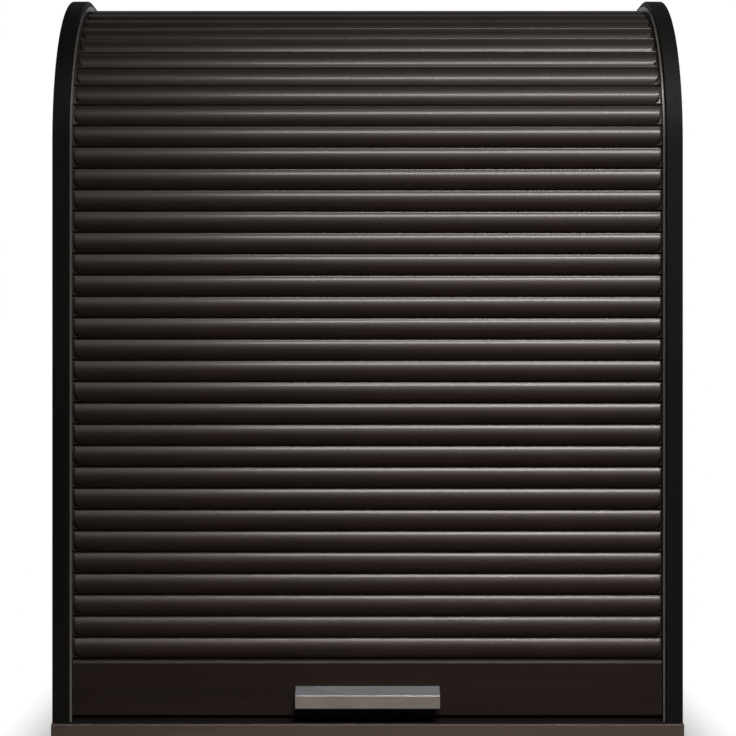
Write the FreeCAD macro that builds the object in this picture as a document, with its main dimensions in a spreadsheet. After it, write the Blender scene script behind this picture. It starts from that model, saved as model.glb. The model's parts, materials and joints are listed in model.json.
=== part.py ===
"""Tambour door cabinet: a carcass with round-topped sides, and a shutter of interlocking slats.

The slats hang link on link from a closing rail, and their ends run in a curved guide in each side:
up the front, round the quarter-round top, under the roof panel and down behind the inner back.
Frame: X to the right, Y to the back, Z up, with the origin at the centre of the base's underside.
All sizes are in millimetres.
"""
import FreeCAD, Part
import math
import os
import re

import Sketcher

Vector = FreeCAD.Vector
Rotation = FreeCAD.Rotation
Placement = FreeCAD.Placement

SIZES = {
    # carcass
    "cabinet_width": 600,
    "side_depth": 350,
    "side_thick": 16,
    "base_thick": 18,
    "base_lip": 6,
    "base_round": 1.5,
    "arc_radius": 163,
    "edge_round": 1.2,
    "board_thick": 16,
    "thin_board": 4,
    "rebate_width": 12,
    "panel_fit": 0.4,
    "inner_back_thick": 6,
    "inner_back_gap": 2,
    "groove_depth": 6,
    "roof_reach": 42,
    "ceiling_gap": 4,
    # shelf and the row of holes for its pins
    "shelf_height": 270,
    "shelf_setback": 45,
    "shelf_end_gap": 1,
    "shelf_back_gap": 2,
    "pin_radius": 2.5,
    "pin_depth": 8,
    "pin_reach": 8,
    "pin_fit": 0.1,
    "pin_inset": 40,
    "pin_row_step": 32,
    "pin_rows": 5,
    # slats, and the track that their links follow
    "slat_pitch": 20.4,
    "slat_count": 38,
    "front_pitches": 24,
    "open_pitches": 22,
    "rail_link_height": 61.5,
    "track_recess": 14,
    "bend_radius": 60,
    "slat_web": 5,
    "slat_crest": 5.1,
    "slat_foot_drop": 0.8,
    "slat_shoulder_round": 0.5,
    "slat_corner_width": 5,
    "slat_corner_height": 9,
    "slat_end_gap": 1.2,
    "tongue_end_gap": 1.3,
    "socket_wall": 0.8,
    "bead_clearance": 0.3,
    "neck_thick": 1.3,
    "shoulder_gap": 0.4,
    "mouth_front": 26,
    "mouth_rear": 46,
    # guides let into the sides
    "guide_lip_recess": 5.2,
    "guide_proud": 2,
    "guide_wall": 1.4,
    "guide_depth": 8,
    "guide_floor": 1.2,
    "guide_fit": 0.1,
    "slot_front_gap": 0.6,
    "slot_rear_gap": 1.4,
    "plug_gap": 1.5,
    "plug_height": 12,
    "plug_fit": 0.2,
    # closing rail, its seal and its handle
    "rail_recess": 7.5,
    "rail_thick": 12,
    "rail_foot_gap": 4.6,
    "rail_end_gap": 0.8,
    "rail_top_round": 4,
    "rail_foot_round": 2.5,
    "seal_foot_width": 7,
    "seal_stem_width": 3,
    "seal_stem_height": 4.8,
    "seal_fit": 0.1,
    "seal_floor_gap": 0.2,
    "handle_length": 137,
    "handle_hole_inset": 4.5,
    "handle_top": 33.9,
    "handle_ridge": 27.4,
    "handle_foot": 14.6,
    "handle_reach": 16,
    "handle_rake": 1.2,
    "handle_lip": 2.4,
    "handle_roof": 4,
    "handle_flange": 2.6,
    "handle_flange_foot": 19,
    "handle_screw_height": 27.6,
    "handle_screw_depth": 8,
    "handle_round": 0.8,
    # fasteners
    "machine_screw": 2,
    "machine_head": 3.8,
    "machine_head_height": 2.6,
    "head_recess": 3,
    "hole_fit": 0.2,
    "base_screw": 2.5,
    "base_screw_shank": 3.5,
    "base_screw_head": 5,
    "base_screw_cone": 4,
    "base_screw_reach": 32,
    "base_screw_inset": 52,
    "dowel_radius": 4,
    "dowel_length": 30,
    "dowel_chamfer": 1,
    "dowel_in_base": 11,
    "dowel_inset": 100,
    "cam_radius": 7.5,
    "cam_height": 12.4,
    "cam_slot_length": 7.5,
    "cam_slot_width": 2,
    "cam_slot_depth": 1,
    "cam_setback": 24,
    "cam_inset": 70,
    "bolt_thread": 2.5,
    "bolt_in_side": 10,
    "bolt_shaft": 3,
    "bolt_bore": 4,
    "nail_radius": 0.9,
    "nail_head": 1.9,
    "nail_head_height": 0.8,
    "nail_length": 20,
    "nail_fit": 0.05,
    "nail_line": 9.5,
    "nail_inset": 30,
    "back_nails": 4,
    "roof_nails": 2,
}

# places that several pieces share, worked out from the sizes above
PLACES = {
    "inner_half": "cabinet_width / 2 - side_thick",
    "front_y": "-(side_depth - base_lip) / 2",
    "rear_y": "front_y + side_depth",
    "link_y": "front_y + track_recess",
    "link_z": "base_thick + rail_link_height",
    "arc_y": "front_y + arc_radius",
    "arc_z": "link_z + front_pitches * slat_pitch",
    "top_z": "arc_z + arc_radius",
    "track_radius": "arc_radius - track_recess",
    "bend_outer": "bend_radius + track_recess",
    "bend_y": "rear_y - bend_outer",
    "bend_z": "top_z - bend_outer",
    "front_run": "front_pitches * slat_pitch",
    "arc_run": "pi / 2 * track_radius",
    "top_run": "bend_y - arc_y",
    "bend_run": "pi / 2 * bend_radius",
    "rear_run": "(slat_count + open_pitches) * slat_pitch - front_run - arc_run - top_run - bend_run",
    "plug_top_z": "bend_z - rear_run - plug_gap",
    "guide_end_z": "plug_top_z - plug_height",
    "slot_out": "track_recess - slat_web / 2 - slot_front_gap",
    "slot_in": "track_recess + slat_web / 2 + slot_rear_gap",
    "guide_out": "slot_out - guide_wall",
    "guide_in": "slot_in + guide_wall",
    "tongue_half": "inner_half + guide_depth - guide_floor - tongue_end_gap",
    "bulge_half": "inner_half - guide_proud - slat_end_gap",
    "slat_corner_radius": "(slat_corner_width ^ 2 + slat_corner_height ^ 2) / (2 * slat_corner_width)",
    "socket_inner": "slat_web / 2 - socket_wall",
    "bead_radius": "socket_inner - bead_clearance",
    "neck_half": "neck_thick / 2",
    "bead_drop": "sqrt(bead_radius ^ 2 - neck_half ^ 2)",
    "shoulder_drop": "slat_web / 2 + shoulder_gap",
    "inner_back_rear": "rear_y - guide_in - inner_back_gap",
    "inner_back_front": "inner_back_rear - inner_back_thick",
    "ceiling_low": "bend_z - board_thick",
    "ceiling_clear": "arc_radius - guide_in - ceiling_gap",
    "ceiling_front": "arc_y - sqrt(ceiling_clear ^ 2 - (bend_z - arc_z) ^ 2)",
    "shelf_low": "base_thick + shelf_height",
    "shelf_front": "front_y + shelf_setback",
    "shelf_back": "inner_back_front - shelf_back_gap",
    "pin_z": "shelf_low - pin_radius",
    "rail_front": "front_y + rail_recess",
    "rail_back": "rail_front + rail_thick",
    "rail_low": "base_thick + rail_foot_gap",
    "rail_shoulder": "link_z - shoulder_drop",
    "rail_half": "inner_half - guide_proud - rail_end_gap",
    "handle_hole_x": "handle_length / 2 - handle_hole_inset",
    "seal_y": "(rail_front + rail_back) / 2",
    "side_middle": "cabinet_width / 2 - side_thick / 2",
}

doc = FreeCAD.newDocument("TambourCabinet")
sheet = doc.addObject("Spreadsheet::Sheet", "Sizes")
workings = doc.addObject("Spreadsheet::Sheet", "Workings")
known_values = {}
parts = []


def fill_sheet():
    """Driving sizes go in column B, shared places in column C, both named by an alias."""
    for row, (name, number) in enumerate(SIZES.items(), start=1):
        sheet.set(f"A{row}", name)
        sheet.set(f"B{row}", str(number))
        sheet.setAlias(f"B{row}", name)
    for row, (name, formula) in enumerate(PLACES.items(), start=1):
        sheet.set(f"C{row}", "=" + formula)
        sheet.setAlias(f"C{row}", name)
    doc.recompute()


def in_sheet(word):
    """A word of a formula, led back to the sheet if it names a size or a place there."""
    name = word[0]
    return "Sizes." + name if name in SIZES or name in PLACES else name


def at(formula):
    """A formula in the sheet's terms, and its value."""
    text = re.sub(r"[a-z_]+", in_sheet, str(formula))
    if text not in known_values:
        workings.set("A1", "=" + text)
        workings.recompute()
        known_values[text] = float(workings.get("A1"))
    return text, known_values[text]


def number(formula):
    return at(formula)[1]


def bind(item, path, formula):
    item.setExpression(path, at(formula)[0])


def new_body(label):
    body = doc.addObject("PartDesign::Body", label)
    body.Label = label
    return body


def keep(item, label=None):
    """Marks an object as a piece of the cabinet, to be written under its label."""
    if label:
        item.Label = label
    parts.append(item)
    return item


def new_sketch(body, role, offset="0"):
    """A sketch on one of the body's origin planes, moved along the plane's normal."""
    plane = next(f for f in body.Origin.OriginFeatures if f.Role == role)
    sketch = body.newObject("Sketcher::SketchObject", body.Name + "_sketch")
    sketch.AttachmentSupport = [(plane, "")]
    sketch.MapMode = "FlatFace"
    bind(sketch, "AttachmentOffset.Base.z", offset)
    return sketch


def fix(sketch, kind, geometry, point, formula):
    """Holds one coordinate of a sketch point at a formula of the sheet."""
    reference, value = at(formula)
    index = sketch.addConstraint(Sketcher.Constraint(kind, geometry, point, value))
    sketch.setExpression(f"Constraints[{index}]", reference)


def outline(sketch, start, steps):
    """Draws a closed outline from start through steps, and back to start in a straight line.

    A step is (x, y) for a line, or (x, y, centre x, centre y, turn, held) for an arc, where turn is
    "left" or "right" and held names the coordinate of the arc's end that the sheet sets. The arc's
    circle sets the other one.
    """
    points = [Vector(number(start[0]), number(start[1]), 0)]
    points += [Vector(number(step[0]), number(step[1]), 0) for step in steps]
    ends = []
    for index, step in enumerate(steps + [start]):
        here, there = points[index], points[(index + 1) % len(points)]
        if len(step) == 2:
            sketch.addGeometry(Part.LineSegment(here, there), False)
            ends.append((1, 2))
            continue
        centre = Vector(number(step[2]), number(step[3]), 0)
        first, last = (here, there) if step[4] == "left" else (there, here)
        angles = [math.atan2(p.y - centre.y, p.x - centre.x) for p in (first, last)]
        if angles[1] <= angles[0]:
            angles[1] += 2 * math.pi
        circle = Part.Circle(centre, Vector(0, 0, 1), (first - centre).Length)
        sketch.addGeometry(Part.ArcOfCircle(circle, *angles), False)
        ends.append((1, 2) if step[4] == "left" else (2, 1))
    total = len(ends)
    for index in range(total):
        after = (index + 1) % total
        joined = (index, ends[index][1], after, ends[after][0])
        sketch.addConstraint(Sketcher.Constraint("Coincident", *joined))
    fix(sketch, "DistanceX", 0, ends[0][0], start[0])
    fix(sketch, "DistanceY", 0, ends[0][0], start[1])
    for index, step in enumerate(steps):
        held = "xy" if len(step) == 2 else step[5]
        if len(step) > 2:
            fix(sketch, "DistanceX", index, 3, step[2])
            fix(sketch, "DistanceY", index, 3, step[3])
        if "x" in held:
            fix(sketch, "DistanceX", index, ends[index][1], step[0])
        if "y" in held:
            fix(sketch, "DistanceY", index, ends[index][1], step[1])
    doc.recompute()


def rectangle(sketch, left, right, low, high):
    outline(sketch, (left, low), [(right, low), (right, high), (left, high)])


def circles(sketch, radius, centres):
    reference, value = at(radius)
    for x, y in centres:
        circle = Part.Circle(Vector(number(x), number(y), 0), Vector(0, 0, 1), value)
        index = sketch.addGeometry(circle, False)
        fix(sketch, "DistanceX", index, 3, x)
        fix(sketch, "DistanceY", index, 3, y)
        held = sketch.addConstraint(Sketcher.Constraint("Radius", index, value))
        sketch.setExpression(f"Constraints[{held}]", reference)
    doc.recompute()


def pad(body, sketch, length):
    feature = body.newObject("PartDesign::Pad", body.Name + "_pad")
    feature.Profile = sketch
    bind(feature, "Length", length)
    doc.recompute()
    return feature


def pocket(body, sketch, depth, along_normal=False):
    """Cuts a sketch into the body, against its plane's normal unless along_normal."""
    before = body.Shape.Volume
    feature = body.newObject("PartDesign::Pocket", body.Name + "_pocket")
    feature.Profile = sketch
    feature.Reversed = along_normal
    bind(feature, "Length", depth)
    doc.recompute()
    if not body.Shape.Volume < before - 1e-6:
        raise RuntimeError(f"a pocket in {body.Label} cuts nothing")
    return feature


def rounded(body, radius, chosen):
    """Rounds the edges of the body for which chosen(edge) is true."""
    base = body.Tip
    names = [f"Edge{n}" for n, e in enumerate(base.Shape.Edges, start=1) if chosen(e)]
    feature = body.newObject("PartDesign::Fillet", body.Name + "_fillet")
    feature.Base = (base, names)
    bind(feature, "Radius", radius)
    doc.recompute()


def lies_on(edge, **where):
    """True if every point of the edge has the given x, y or z."""
    ends = [edge.valueAt(edge.FirstParameter), edge.valueAt(edge.LastParameter)]
    ends.append(edge.valueAt((edge.FirstParameter + edge.LastParameter) / 2))
    return all(abs(getattr(p, axis) - value) < 1e-4 for p in ends for axis, value in where.items())


def board(label, x, y, z):
    """A rectangular board, from low and high formulas for each direction."""
    body = new_body(label)
    sketch = new_sketch(body, "XY_Plane", z[0])
    rectangle(sketch, x[0], x[1], y[0], y[1])
    pad(body, sketch, f"{z[1]} - ({z[0]})")
    return body


def turned(label, steps):
    """A template turned about the Z axis from half a section, given as (radius, height) points."""
    body = new_body(label)
    sketch = new_sketch(body, "XZ_Plane")
    outline(sketch, steps[0], steps[1:])
    feature = body.newObject("PartDesign::Revolution", label + "_turned")
    feature.Profile = sketch
    feature.ReferenceAxis = (sketch, ["V_Axis"])
    feature.Angle = 360
    doc.recompute()
    return body


def copy_of(template, label, place, rotation=None):
    """A copy of a template, turned and then put at a place given by three formulas."""
    item = doc.addObject("Part::Compound", label)
    item.Links = [template]
    item.Placement = Placement(Vector(), rotation or Rotation())
    for axis, formula in zip("xyz", place):
        bind(item, f"Placement.Base.{axis}", formula)
    return item


def group(label, copies):
    item = doc.addObject("Part::Compound", label)
    item.Links = copies
    return keep(item, label)


def mirrored(source, label):
    item = doc.addObject("Part::Mirroring", label)
    item.Source = source
    item.Base = Vector()
    item.Normal = Vector(1, 0, 0)
    return keep(item, label)


def track_band(sketch, outer, inner):
    """The strip along the whole track between two distances in from the edge of the side."""
    foot, end = "base_thick", "guide_end_z"
    arc = ("arc_y", "arc_z")
    bend = ("bend_y", "bend_z")
    outline(
        sketch,
        (f"front_y + {outer}", foot),
        [
            (f"front_y + {outer}", "arc_z"),
            ("arc_y", f"top_z - ({outer})", *arc, "right", "x"),
            ("bend_y", f"top_z - ({outer})"),
            (f"rear_y - ({outer})", "bend_z", *bend, "right", "y"),
            (f"rear_y - ({outer})", end),
            (f"rear_y - ({inner})", end),
            (f"rear_y - ({inner})", "bend_z"),
            ("bend_y", f"top_z - ({inner})", *bend, "left", "x"),
            ("arc_y", f"top_z - ({inner})"),
            (f"front_y + {inner}", "arc_z", *arc, "left", "y"),
            (f"front_y + {inner}", foot),
        ],
    )


def spread(low, high, count):
    """Formulas for places spread evenly from low to high, as many as the named count."""
    steps = range(int(SIZES[count]))
    return [f"{low} + ({high} - ({low})) * {step} / ({count} - 1)" for step in steps]


# positions of the fasteners that join boards to the sides
BASE_SCREW_LINE = ["front_y + base_screw_inset", "(front_y + rear_y) / 2", "rear_y - base_screw_inset"]
DOWEL_LINE = ["front_y + dowel_inset", "rear_y - dowel_inset"]
CAM_LINE = ["ceiling_front + cam_inset", "inner_back_front - cam_inset"]
PIN_LINE = ["shelf_front + pin_inset", "shelf_back - pin_inset"]
CEILING_MIDDLE = "bend_z - board_thick / 2"
NAIL_X = "(inner_half + nail_line)"
BACK_NAIL_LINE = spread("base_thick + nail_inset", "top_z - thin_board - nail_inset", "back_nails")
ROOF_NAIL_LINE = spread("arc_y + roof_reach + nail_inset", "rear_y - nail_inset", "roof_nails")


def side_panel():
    """Left side: straight front edge, quarter-round top, and every groove and hole of its inner face."""
    body = new_body("left_side_panel")
    sketch = new_sketch(body, "YZ_Plane", "-cabinet_width / 2")
    outline(
        sketch,
        ("front_y", "base_thick"),
        [
            ("front_y", "arc_z"),
            ("arc_y", "top_z", "arc_y", "arc_z", "right", "x"),
            ("rear_y", "top_z"),
            ("rear_y", "base_thick"),
        ],
    )
    pad(body, sketch, "side_thick")
    outer_x, foot, back = number("-cabinet_width / 2"), number("base_thick"), number("rear_y")
    rounded(
        body,
        "edge_round",
        lambda e: (lies_on(e, x=outer_x) or lies_on(e, x=-number("inner_half")))
        and not lies_on(e, z=foot)
        and not lies_on(e, y=back),
    )
    inner_face = "-inner_half"
    sketch = new_sketch(body, "YZ_Plane", inner_face)
    track_band(sketch, "guide_out - guide_fit", "guide_in + guide_fit")
    pocket(body, sketch, "guide_depth + guide_fit")
    sketch = new_sketch(body, "YZ_Plane", inner_face)
    rectangle(sketch, "inner_back_front", "inner_back_rear", "base_thick", "bend_z")
    pocket(body, sketch, "groove_depth")
    sketch = new_sketch(body, "YZ_Plane", inner_face)
    rectangle(sketch, "rear_y - thin_board", "rear_y", "base_thick", "top_z")
    pocket(body, sketch, "rebate_width")
    sketch = new_sketch(body, "YZ_Plane", inner_face)
    rectangle(sketch, "arc_y + roof_reach", "rear_y", "top_z - thin_board", "top_z")
    pocket(body, sketch, "rebate_width")
    sketch = new_sketch(body, "YZ_Plane", inner_face)
    rows = range(int(SIZES["pin_rows"]))
    heights = [f"pin_z + ({row} - (pin_rows - 1) / 2) * pin_row_step" for row in rows]
    circles(sketch, "pin_radius + pin_fit", [(y, z) for y in PIN_LINE for z in heights])
    pocket(body, sketch, "pin_depth + pin_fit")
    sketch = new_sketch(body, "YZ_Plane", inner_face)
    circles(sketch, "bolt_thread + hole_fit", [(y, CEILING_MIDDLE) for y in CAM_LINE])
    pocket(body, sketch, "bolt_in_side + hole_fit")
    sketch = new_sketch(body, "XY_Plane", "base_thick")
    circles(sketch, "base_screw + hole_fit", [("-side_middle", y) for y in BASE_SCREW_LINE])
    pocket(body, sketch, "base_screw_reach + hole_fit", along_normal=True)
    sketch = new_sketch(body, "XY_Plane", "base_thick")
    circles(sketch, "dowel_radius + hole_fit", [("-side_middle", y) for y in DOWEL_LINE])
    pocket(body, sketch, "dowel_length - dowel_in_base + hole_fit", along_normal=True)
    sketch = new_sketch(body, "XZ_Plane", "-(rear_y - thin_board)")
    circles(sketch, "nail_radius + nail_fit", [("-" + NAIL_X, z) for z in BACK_NAIL_LINE])
    pocket(body, sketch, "nail_length - thin_board + nail_fit", along_normal=True)
    sketch = new_sketch(body, "XY_Plane", "top_z - thin_board")
    circles(sketch, "nail_radius + nail_fit", [("-" + NAIL_X, y) for y in ROOF_NAIL_LINE])
    pocket(body, sketch, "nail_length - thin_board + nail_fit")
    keep(body)
    mirrored(body, "right_side_panel")


def base_board():
    """Base: as wide as the cabinet, with its rounded front edge a little ahead of the sides."""
    body = board(
        "base_board",
        ("-cabinet_width / 2", "cabinet_width / 2"),
        ("front_y - base_lip", "rear_y"),
        ("0", "base_thick"),
    )
    front, top = number("front_y - base_lip"), number("base_thick")
    rounded(body, "base_round", lambda e: lies_on(e, y=front, z=top))
    screws = [(x, y) for x in ("-side_middle", "side_middle") for y in BASE_SCREW_LINE]
    sketch = new_sketch(body, "XY_Plane", "0")
    circles(sketch, "base_screw_shank + hole_fit", screws)
    pocket(body, sketch, "base_thick", along_normal=True)
    sketch = new_sketch(body, "XY_Plane", "0")
    circles(sketch, "base_screw_head + hole_fit", screws)
    cone_top = "base_screw_cone + base_screw_head - base_screw_shank"
    pocket(body, sketch, f"{cone_top} + hole_fit", along_normal=True)
    sketch = new_sketch(body, "XY_Plane", "base_thick")
    dowels = [(x, y) for x in ("-side_middle", "side_middle") for y in DOWEL_LINE]
    circles(sketch, "dowel_radius + hole_fit", dowels)
    pocket(body, sketch, "dowel_in_base + hole_fit")
    keep(body)


def inner_boards():
    """Ceiling, shelf and inner back, which keep what is stored clear of the shutter."""
    across = ("-inner_half", "inner_half")
    deep = ("ceiling_front", "inner_back_front")
    ceiling = board("ceiling_board", across, deep, ("ceiling_low", "bend_z"))
    cams = [(f"{sign}(inner_half - cam_setback)", y) for sign in ("-", "") for y in CAM_LINE]
    sketch = new_sketch(ceiling, "XY_Plane", "ceiling_low")
    circles(sketch, "cam_radius + hole_fit", cams)
    pocket(ceiling, sketch, "cam_height + hole_fit", along_normal=True)
    for plane_x, inward in (("-inner_half", True), ("inner_half", False)):
        sketch = new_sketch(ceiling, "YZ_Plane", plane_x)
        circles(sketch, "bolt_bore", [(y, CEILING_MIDDLE) for y in CAM_LINE])
        pocket(ceiling, sketch, "cam_setback", along_normal=inward)
    keep(ceiling)
    ends = ("-(inner_half - shelf_end_gap)", "inner_half - shelf_end_gap")
    shelf = board("shelf", ends, ("shelf_front", "shelf_back"), ("shelf_low", "shelf_low + board_thick"))
    front = number("shelf_front")
    rounded(shelf, "base_round", lambda e: lies_on(e, y=front) and not lies_on(e, x=e.CenterOfMass.x))
    keep(shelf)
    reach = "inner_half + groove_depth - panel_fit"
    keep(
        board(
            "inner_back_panel",
            (f"-({reach})", reach),
            ("inner_back_front", "inner_back_rear"),
            ("base_thick", "bend_z"),
        )
    )


def nail_holes(body, role, offset, centres, along_normal):
    """Holes for nails through a thin panel, with a recess that takes each head flush."""
    for radius, depth in (("nail_radius", "thin_board"), ("nail_head", "nail_head_height")):
        sketch = new_sketch(body, role, offset)
        circles(sketch, f"{radius} + nail_fit", centres)
        pocket(body, sketch, depth, along_normal)


def outer_panels():
    """Thin panels that lie in the rebates of the sides: the rear, and the roof over the shutter's path."""
    reach = "inner_half + rebate_width - panel_fit"
    across = (f"-({reach})", reach)
    columns = ("-" + NAIL_X, NAIL_X)
    tall = ("base_thick", "top_z - thin_board")
    rear = board("rear_panel", across, ("rear_y - thin_board", "rear_y"), tall)
    nail_holes(rear, "XZ_Plane", "-rear_y", [(x, z) for x in columns for z in BACK_NAIL_LINE], True)
    keep(rear)
    roof = board("roof_panel", across, ("arc_y + roof_reach", "rear_y"), ("top_z - thin_board", "top_z"))
    front, top = number("arc_y + roof_reach"), number("top_z")
    rounded(roof, "base_round", lambda e: lies_on(e, y=front, z=top))
    nail_holes(roof, "XY_Plane", "top_z", [(x, y) for x in columns for y in ROOF_NAIL_LINE], False)
    keep(roof)


def guide():
    """Left guide: a channel let into the side, with a flat lip on the side's inner face."""
    body = new_body("left_guide")
    sketch = new_sketch(body, "YZ_Plane", "-inner_half - guide_depth")
    track_band(sketch, "guide_out", "guide_in")
    pad(body, sketch, "guide_depth + guide_proud")
    sketch = new_sketch(body, "YZ_Plane", "-inner_half")
    track_band(sketch, "guide_lip_recess", "(guide_out + slot_out) / 2")
    pad(body, sketch, "guide_proud")
    sketch = new_sketch(body, "YZ_Plane", "-inner_half + guide_proud")
    track_band(sketch, "slot_out", "slot_in")
    pocket(body, sketch, "guide_depth - guide_floor + guide_proud")
    keep(body)
    mirrored(body, "right_guide")
    plug = board(
        "plug_template",
        ("-tongue_half - tongue_end_gap", "-inner_half + guide_proud"),
        ("rear_y - slot_in + plug_fit", "rear_y - slot_out - plug_fit"),
        ("guide_end_z", "plug_top_z"),
    )
    other = doc.addObject("Part::Mirroring", "plug_right")
    other.Source = plug
    other.Normal = Vector(1, 0, 0)
    group("guide_end_plugs", [plug, other])


def slat_template():
    """One slat, standing on its own link line, with its front towards -Y.

    The web has a socket along its foot, open downwards, and a bead on a neck along its head, which
    the next slat's socket holds. The mouth of the socket is wider at the back, so that the shutter
    bends one way only. The convex face is shorter than the web, whose ends are the guide's tongues,
    and its lower corners are rounded.
    """
    body = new_body("slat_template")
    half = "slat_web / 2"
    sketch = new_sketch(body, "YZ_Plane", "-tongue_half")
    head = ("0", "slat_pitch")
    hinge = ("0", "0")
    shoulder = "slat_pitch - shoulder_drop"
    face_top = f"{shoulder} - slat_shoulder_round"
    round_y = f"-{half} + slat_shoulder_round"
    neck_top = "slat_pitch - bead_drop"
    rear_jaw = ("sin(mouth_rear * 1deg)", "-cos(mouth_rear * 1deg)")
    front_jaw = ("-sin(mouth_front * 1deg)", "-cos(mouth_front * 1deg)")
    outline(
        sketch,
        (f"-{half}", face_top),
        [
            (round_y, shoulder, round_y, face_top, "right", "x"),
            ("-neck_half", shoulder),
            ("-neck_half", neck_top),
            ("neck_half", neck_top, *head, "right", "x"),
            ("neck_half", shoulder),
            (half, shoulder),
            (half, "0"),
            (f"{half} * {rear_jaw[0]}", f"{half} * ({rear_jaw[1]})", *hinge, "right", "x"),
            (f"socket_inner * {rear_jaw[0]}", f"socket_inner * ({rear_jaw[1]})"),
            (f"socket_inner * ({front_jaw[0]})", f"socket_inner * ({front_jaw[1]})", *hinge, "left", "x"),
            (f"{half} * ({front_jaw[0]})", f"{half} * ({front_jaw[1]})"),
            (f"-{half}", "0", *hinge, "right", "y"),
        ],
    )
    pad(body, sketch, "2 * tongue_half")
    sketch = new_sketch(body, "YZ_Plane", "-bulge_half")
    rise = "(slat_crest - slat_web / 2)"
    chord = f"({face_top} + slat_foot_drop)"
    radius = f"(({chord} / 2) ^ 2 + {rise} ^ 2) / (2 * {rise})"
    middle = f"({face_top} - slat_foot_drop) / 2"
    outline(
        sketch,
        ("0", face_top),
        [
            (f"-{half}", face_top),
            (f"-{half}", "-slat_foot_drop", f"{radius} - slat_crest", middle, "left", "y"),
            ("-socket_inner - socket_wall / 2", "-slat_foot_drop"),
            ("-socket_inner - socket_wall / 2", "socket_inner + socket_wall"),
            ("0", "socket_inner + socket_wall"),
        ],
    )
    pad(body, sketch, "2 * bulge_half")
    low = "-slat_foot_drop - shoulder_gap"
    corner_top = "slat_corner_height - slat_foot_drop"
    for sign, turn in (("-", "right"), ("", "left")):
        end = f"{sign}(bulge_half + slat_end_gap)"
        corner = f"{sign}(bulge_half - slat_corner_width)"
        centre = (f"{sign}(bulge_half - slat_corner_radius)", corner_top)
        sketch = new_sketch(body, "XZ_Plane", "slat_crest")
        outline(
            sketch,
            (end, low),
            [
                (corner, low),
                (corner, "-slat_foot_drop"),
                (f"{sign}bulge_half", corner_top, *centre, turn, "y"),
                (end, corner_top),
            ],
        )
        pocket(body, sketch, f"slat_crest - {half}")
    return body


def track_point(run):
    """Where a link lies in Y and Z when it has come this far along the track from the rail's link."""
    front, arc = number("front_run"), number("arc_run")
    top, bend = number("top_run"), number("bend_run")
    if run <= front:
        return number("link_y"), number("link_z") + run
    run -= front
    if run <= arc:
        radius = number("track_radius")
        turn = run / radius
        return number("arc_y") - radius * math.cos(turn), number("arc_z") + radius * math.sin(turn)
    run -= arc
    if run <= top:
        return number("arc_y") + run, number("top_z - track_recess")
    run -= top
    if run <= bend:
        radius = number("bend_radius")
        turn = run / radius
        return number("bend_y") + radius * math.sin(turn), number("bend_z") + radius * math.cos(turn)
    return number("rear_y - track_recess"), number("bend_z") - (run - bend)


def shutter():
    """The slats, each set on two neighbouring links of the track, as the closed door holds them."""
    template = slat_template()
    pitch = number("slat_pitch")
    for index in range(int(SIZES["slat_count"])):
        here, there = track_point(index * pitch), track_point((index + 1) * pitch)
        lean = math.degrees(math.atan2(there[0] - here[0], there[1] - here[1]))
        slat = doc.addObject("Part::Compound", f"slat_{index + 1:02d}")
        slat.Links = [template]
        slat.Placement = Placement(Vector(0, *here), Rotation(Vector(1, 0, 0), -lean))
        keep(slat)


def closing_rail():
    """Bottom rail: a bead along its top for the first slat, end tongues, and holes for the handle."""
    body = new_body("closing_rail")
    sketch = new_sketch(body, "YZ_Plane", "-rail_half")
    rectangle(sketch, "rail_front", "rail_back", "rail_low", "rail_shoulder")
    pad(body, sketch, "2 * rail_half")
    front = number("rail_front")
    for radius, height in (("rail_top_round", "rail_shoulder"), ("rail_foot_round", "rail_low")):
        rounded(body, radius, lambda e, z=number(height): lies_on(e, y=front, z=z))
    sketch = new_sketch(body, "YZ_Plane", "-tongue_half")
    rectangle(sketch, "link_y - slat_web / 2", "link_y + slat_web / 2", "rail_low", "rail_shoulder")
    pad(body, sketch, "2 * tongue_half")
    sketch = new_sketch(body, "YZ_Plane", "-rail_half")
    neck_top = "link_z - bead_drop"
    outline(
        sketch,
        ("link_y - neck_half", "rail_shoulder - neck_thick"),
        [
            ("link_y - neck_half", neck_top),
            ("link_y + neck_half", neck_top, "link_y", "link_z", "right", "x"),
            ("link_y + neck_half", "rail_shoulder - neck_thick"),
        ],
    )
    pad(body, sketch, "2 * rail_half")
    sketch = new_sketch(body, "YZ_Plane", "-rail_half")
    stem = "seal_stem_width / 2 + seal_fit"
    groove_top = "rail_low + seal_stem_height + seal_fit"
    rectangle(sketch, f"seal_y - ({stem})", f"seal_y + {stem}", "rail_low", groove_top)
    pocket(body, sketch, "2 * rail_half", along_normal=True)
    holes = [(f"{sign}handle_hole_x", "base_thick + handle_screw_height") for sign in ("-", "")]
    sketch = new_sketch(body, "XZ_Plane", "-rail_front")
    circles(sketch, "machine_screw + hole_fit", holes)
    pocket(body, sketch, "rail_thick")
    sketch = new_sketch(body, "XZ_Plane", "-rail_back")
    circles(sketch, "machine_head + hole_fit", holes)
    pocket(body, sketch, "head_recess", along_normal=True)
    keep(body)


def rail_seal():
    """Rubber strip under the rail: a stem pressed into the rail's groove, and a wider foot."""
    body = new_body("rail_seal")
    sketch = new_sketch(body, "YZ_Plane", "-rail_half")
    foot, stem = "seal_foot_width / 2", "seal_stem_width / 2"
    low, top = "base_thick + seal_floor_gap", "rail_low + seal_stem_height"
    outline(
        sketch,
        (f"seal_y - {foot}", low),
        [
            (f"seal_y + {foot}", low),
            (f"seal_y + {foot}", "rail_low"),
            (f"seal_y + {stem}", "rail_low"),
            (f"seal_y + {stem}", top),
            (f"seal_y - {stem}", top),
            (f"seal_y - {stem}", "rail_low"),
            (f"seal_y - {foot}", "rail_low"),
        ],
    )
    pad(body, sketch, "2 * rail_half")
    keep(body)


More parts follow.
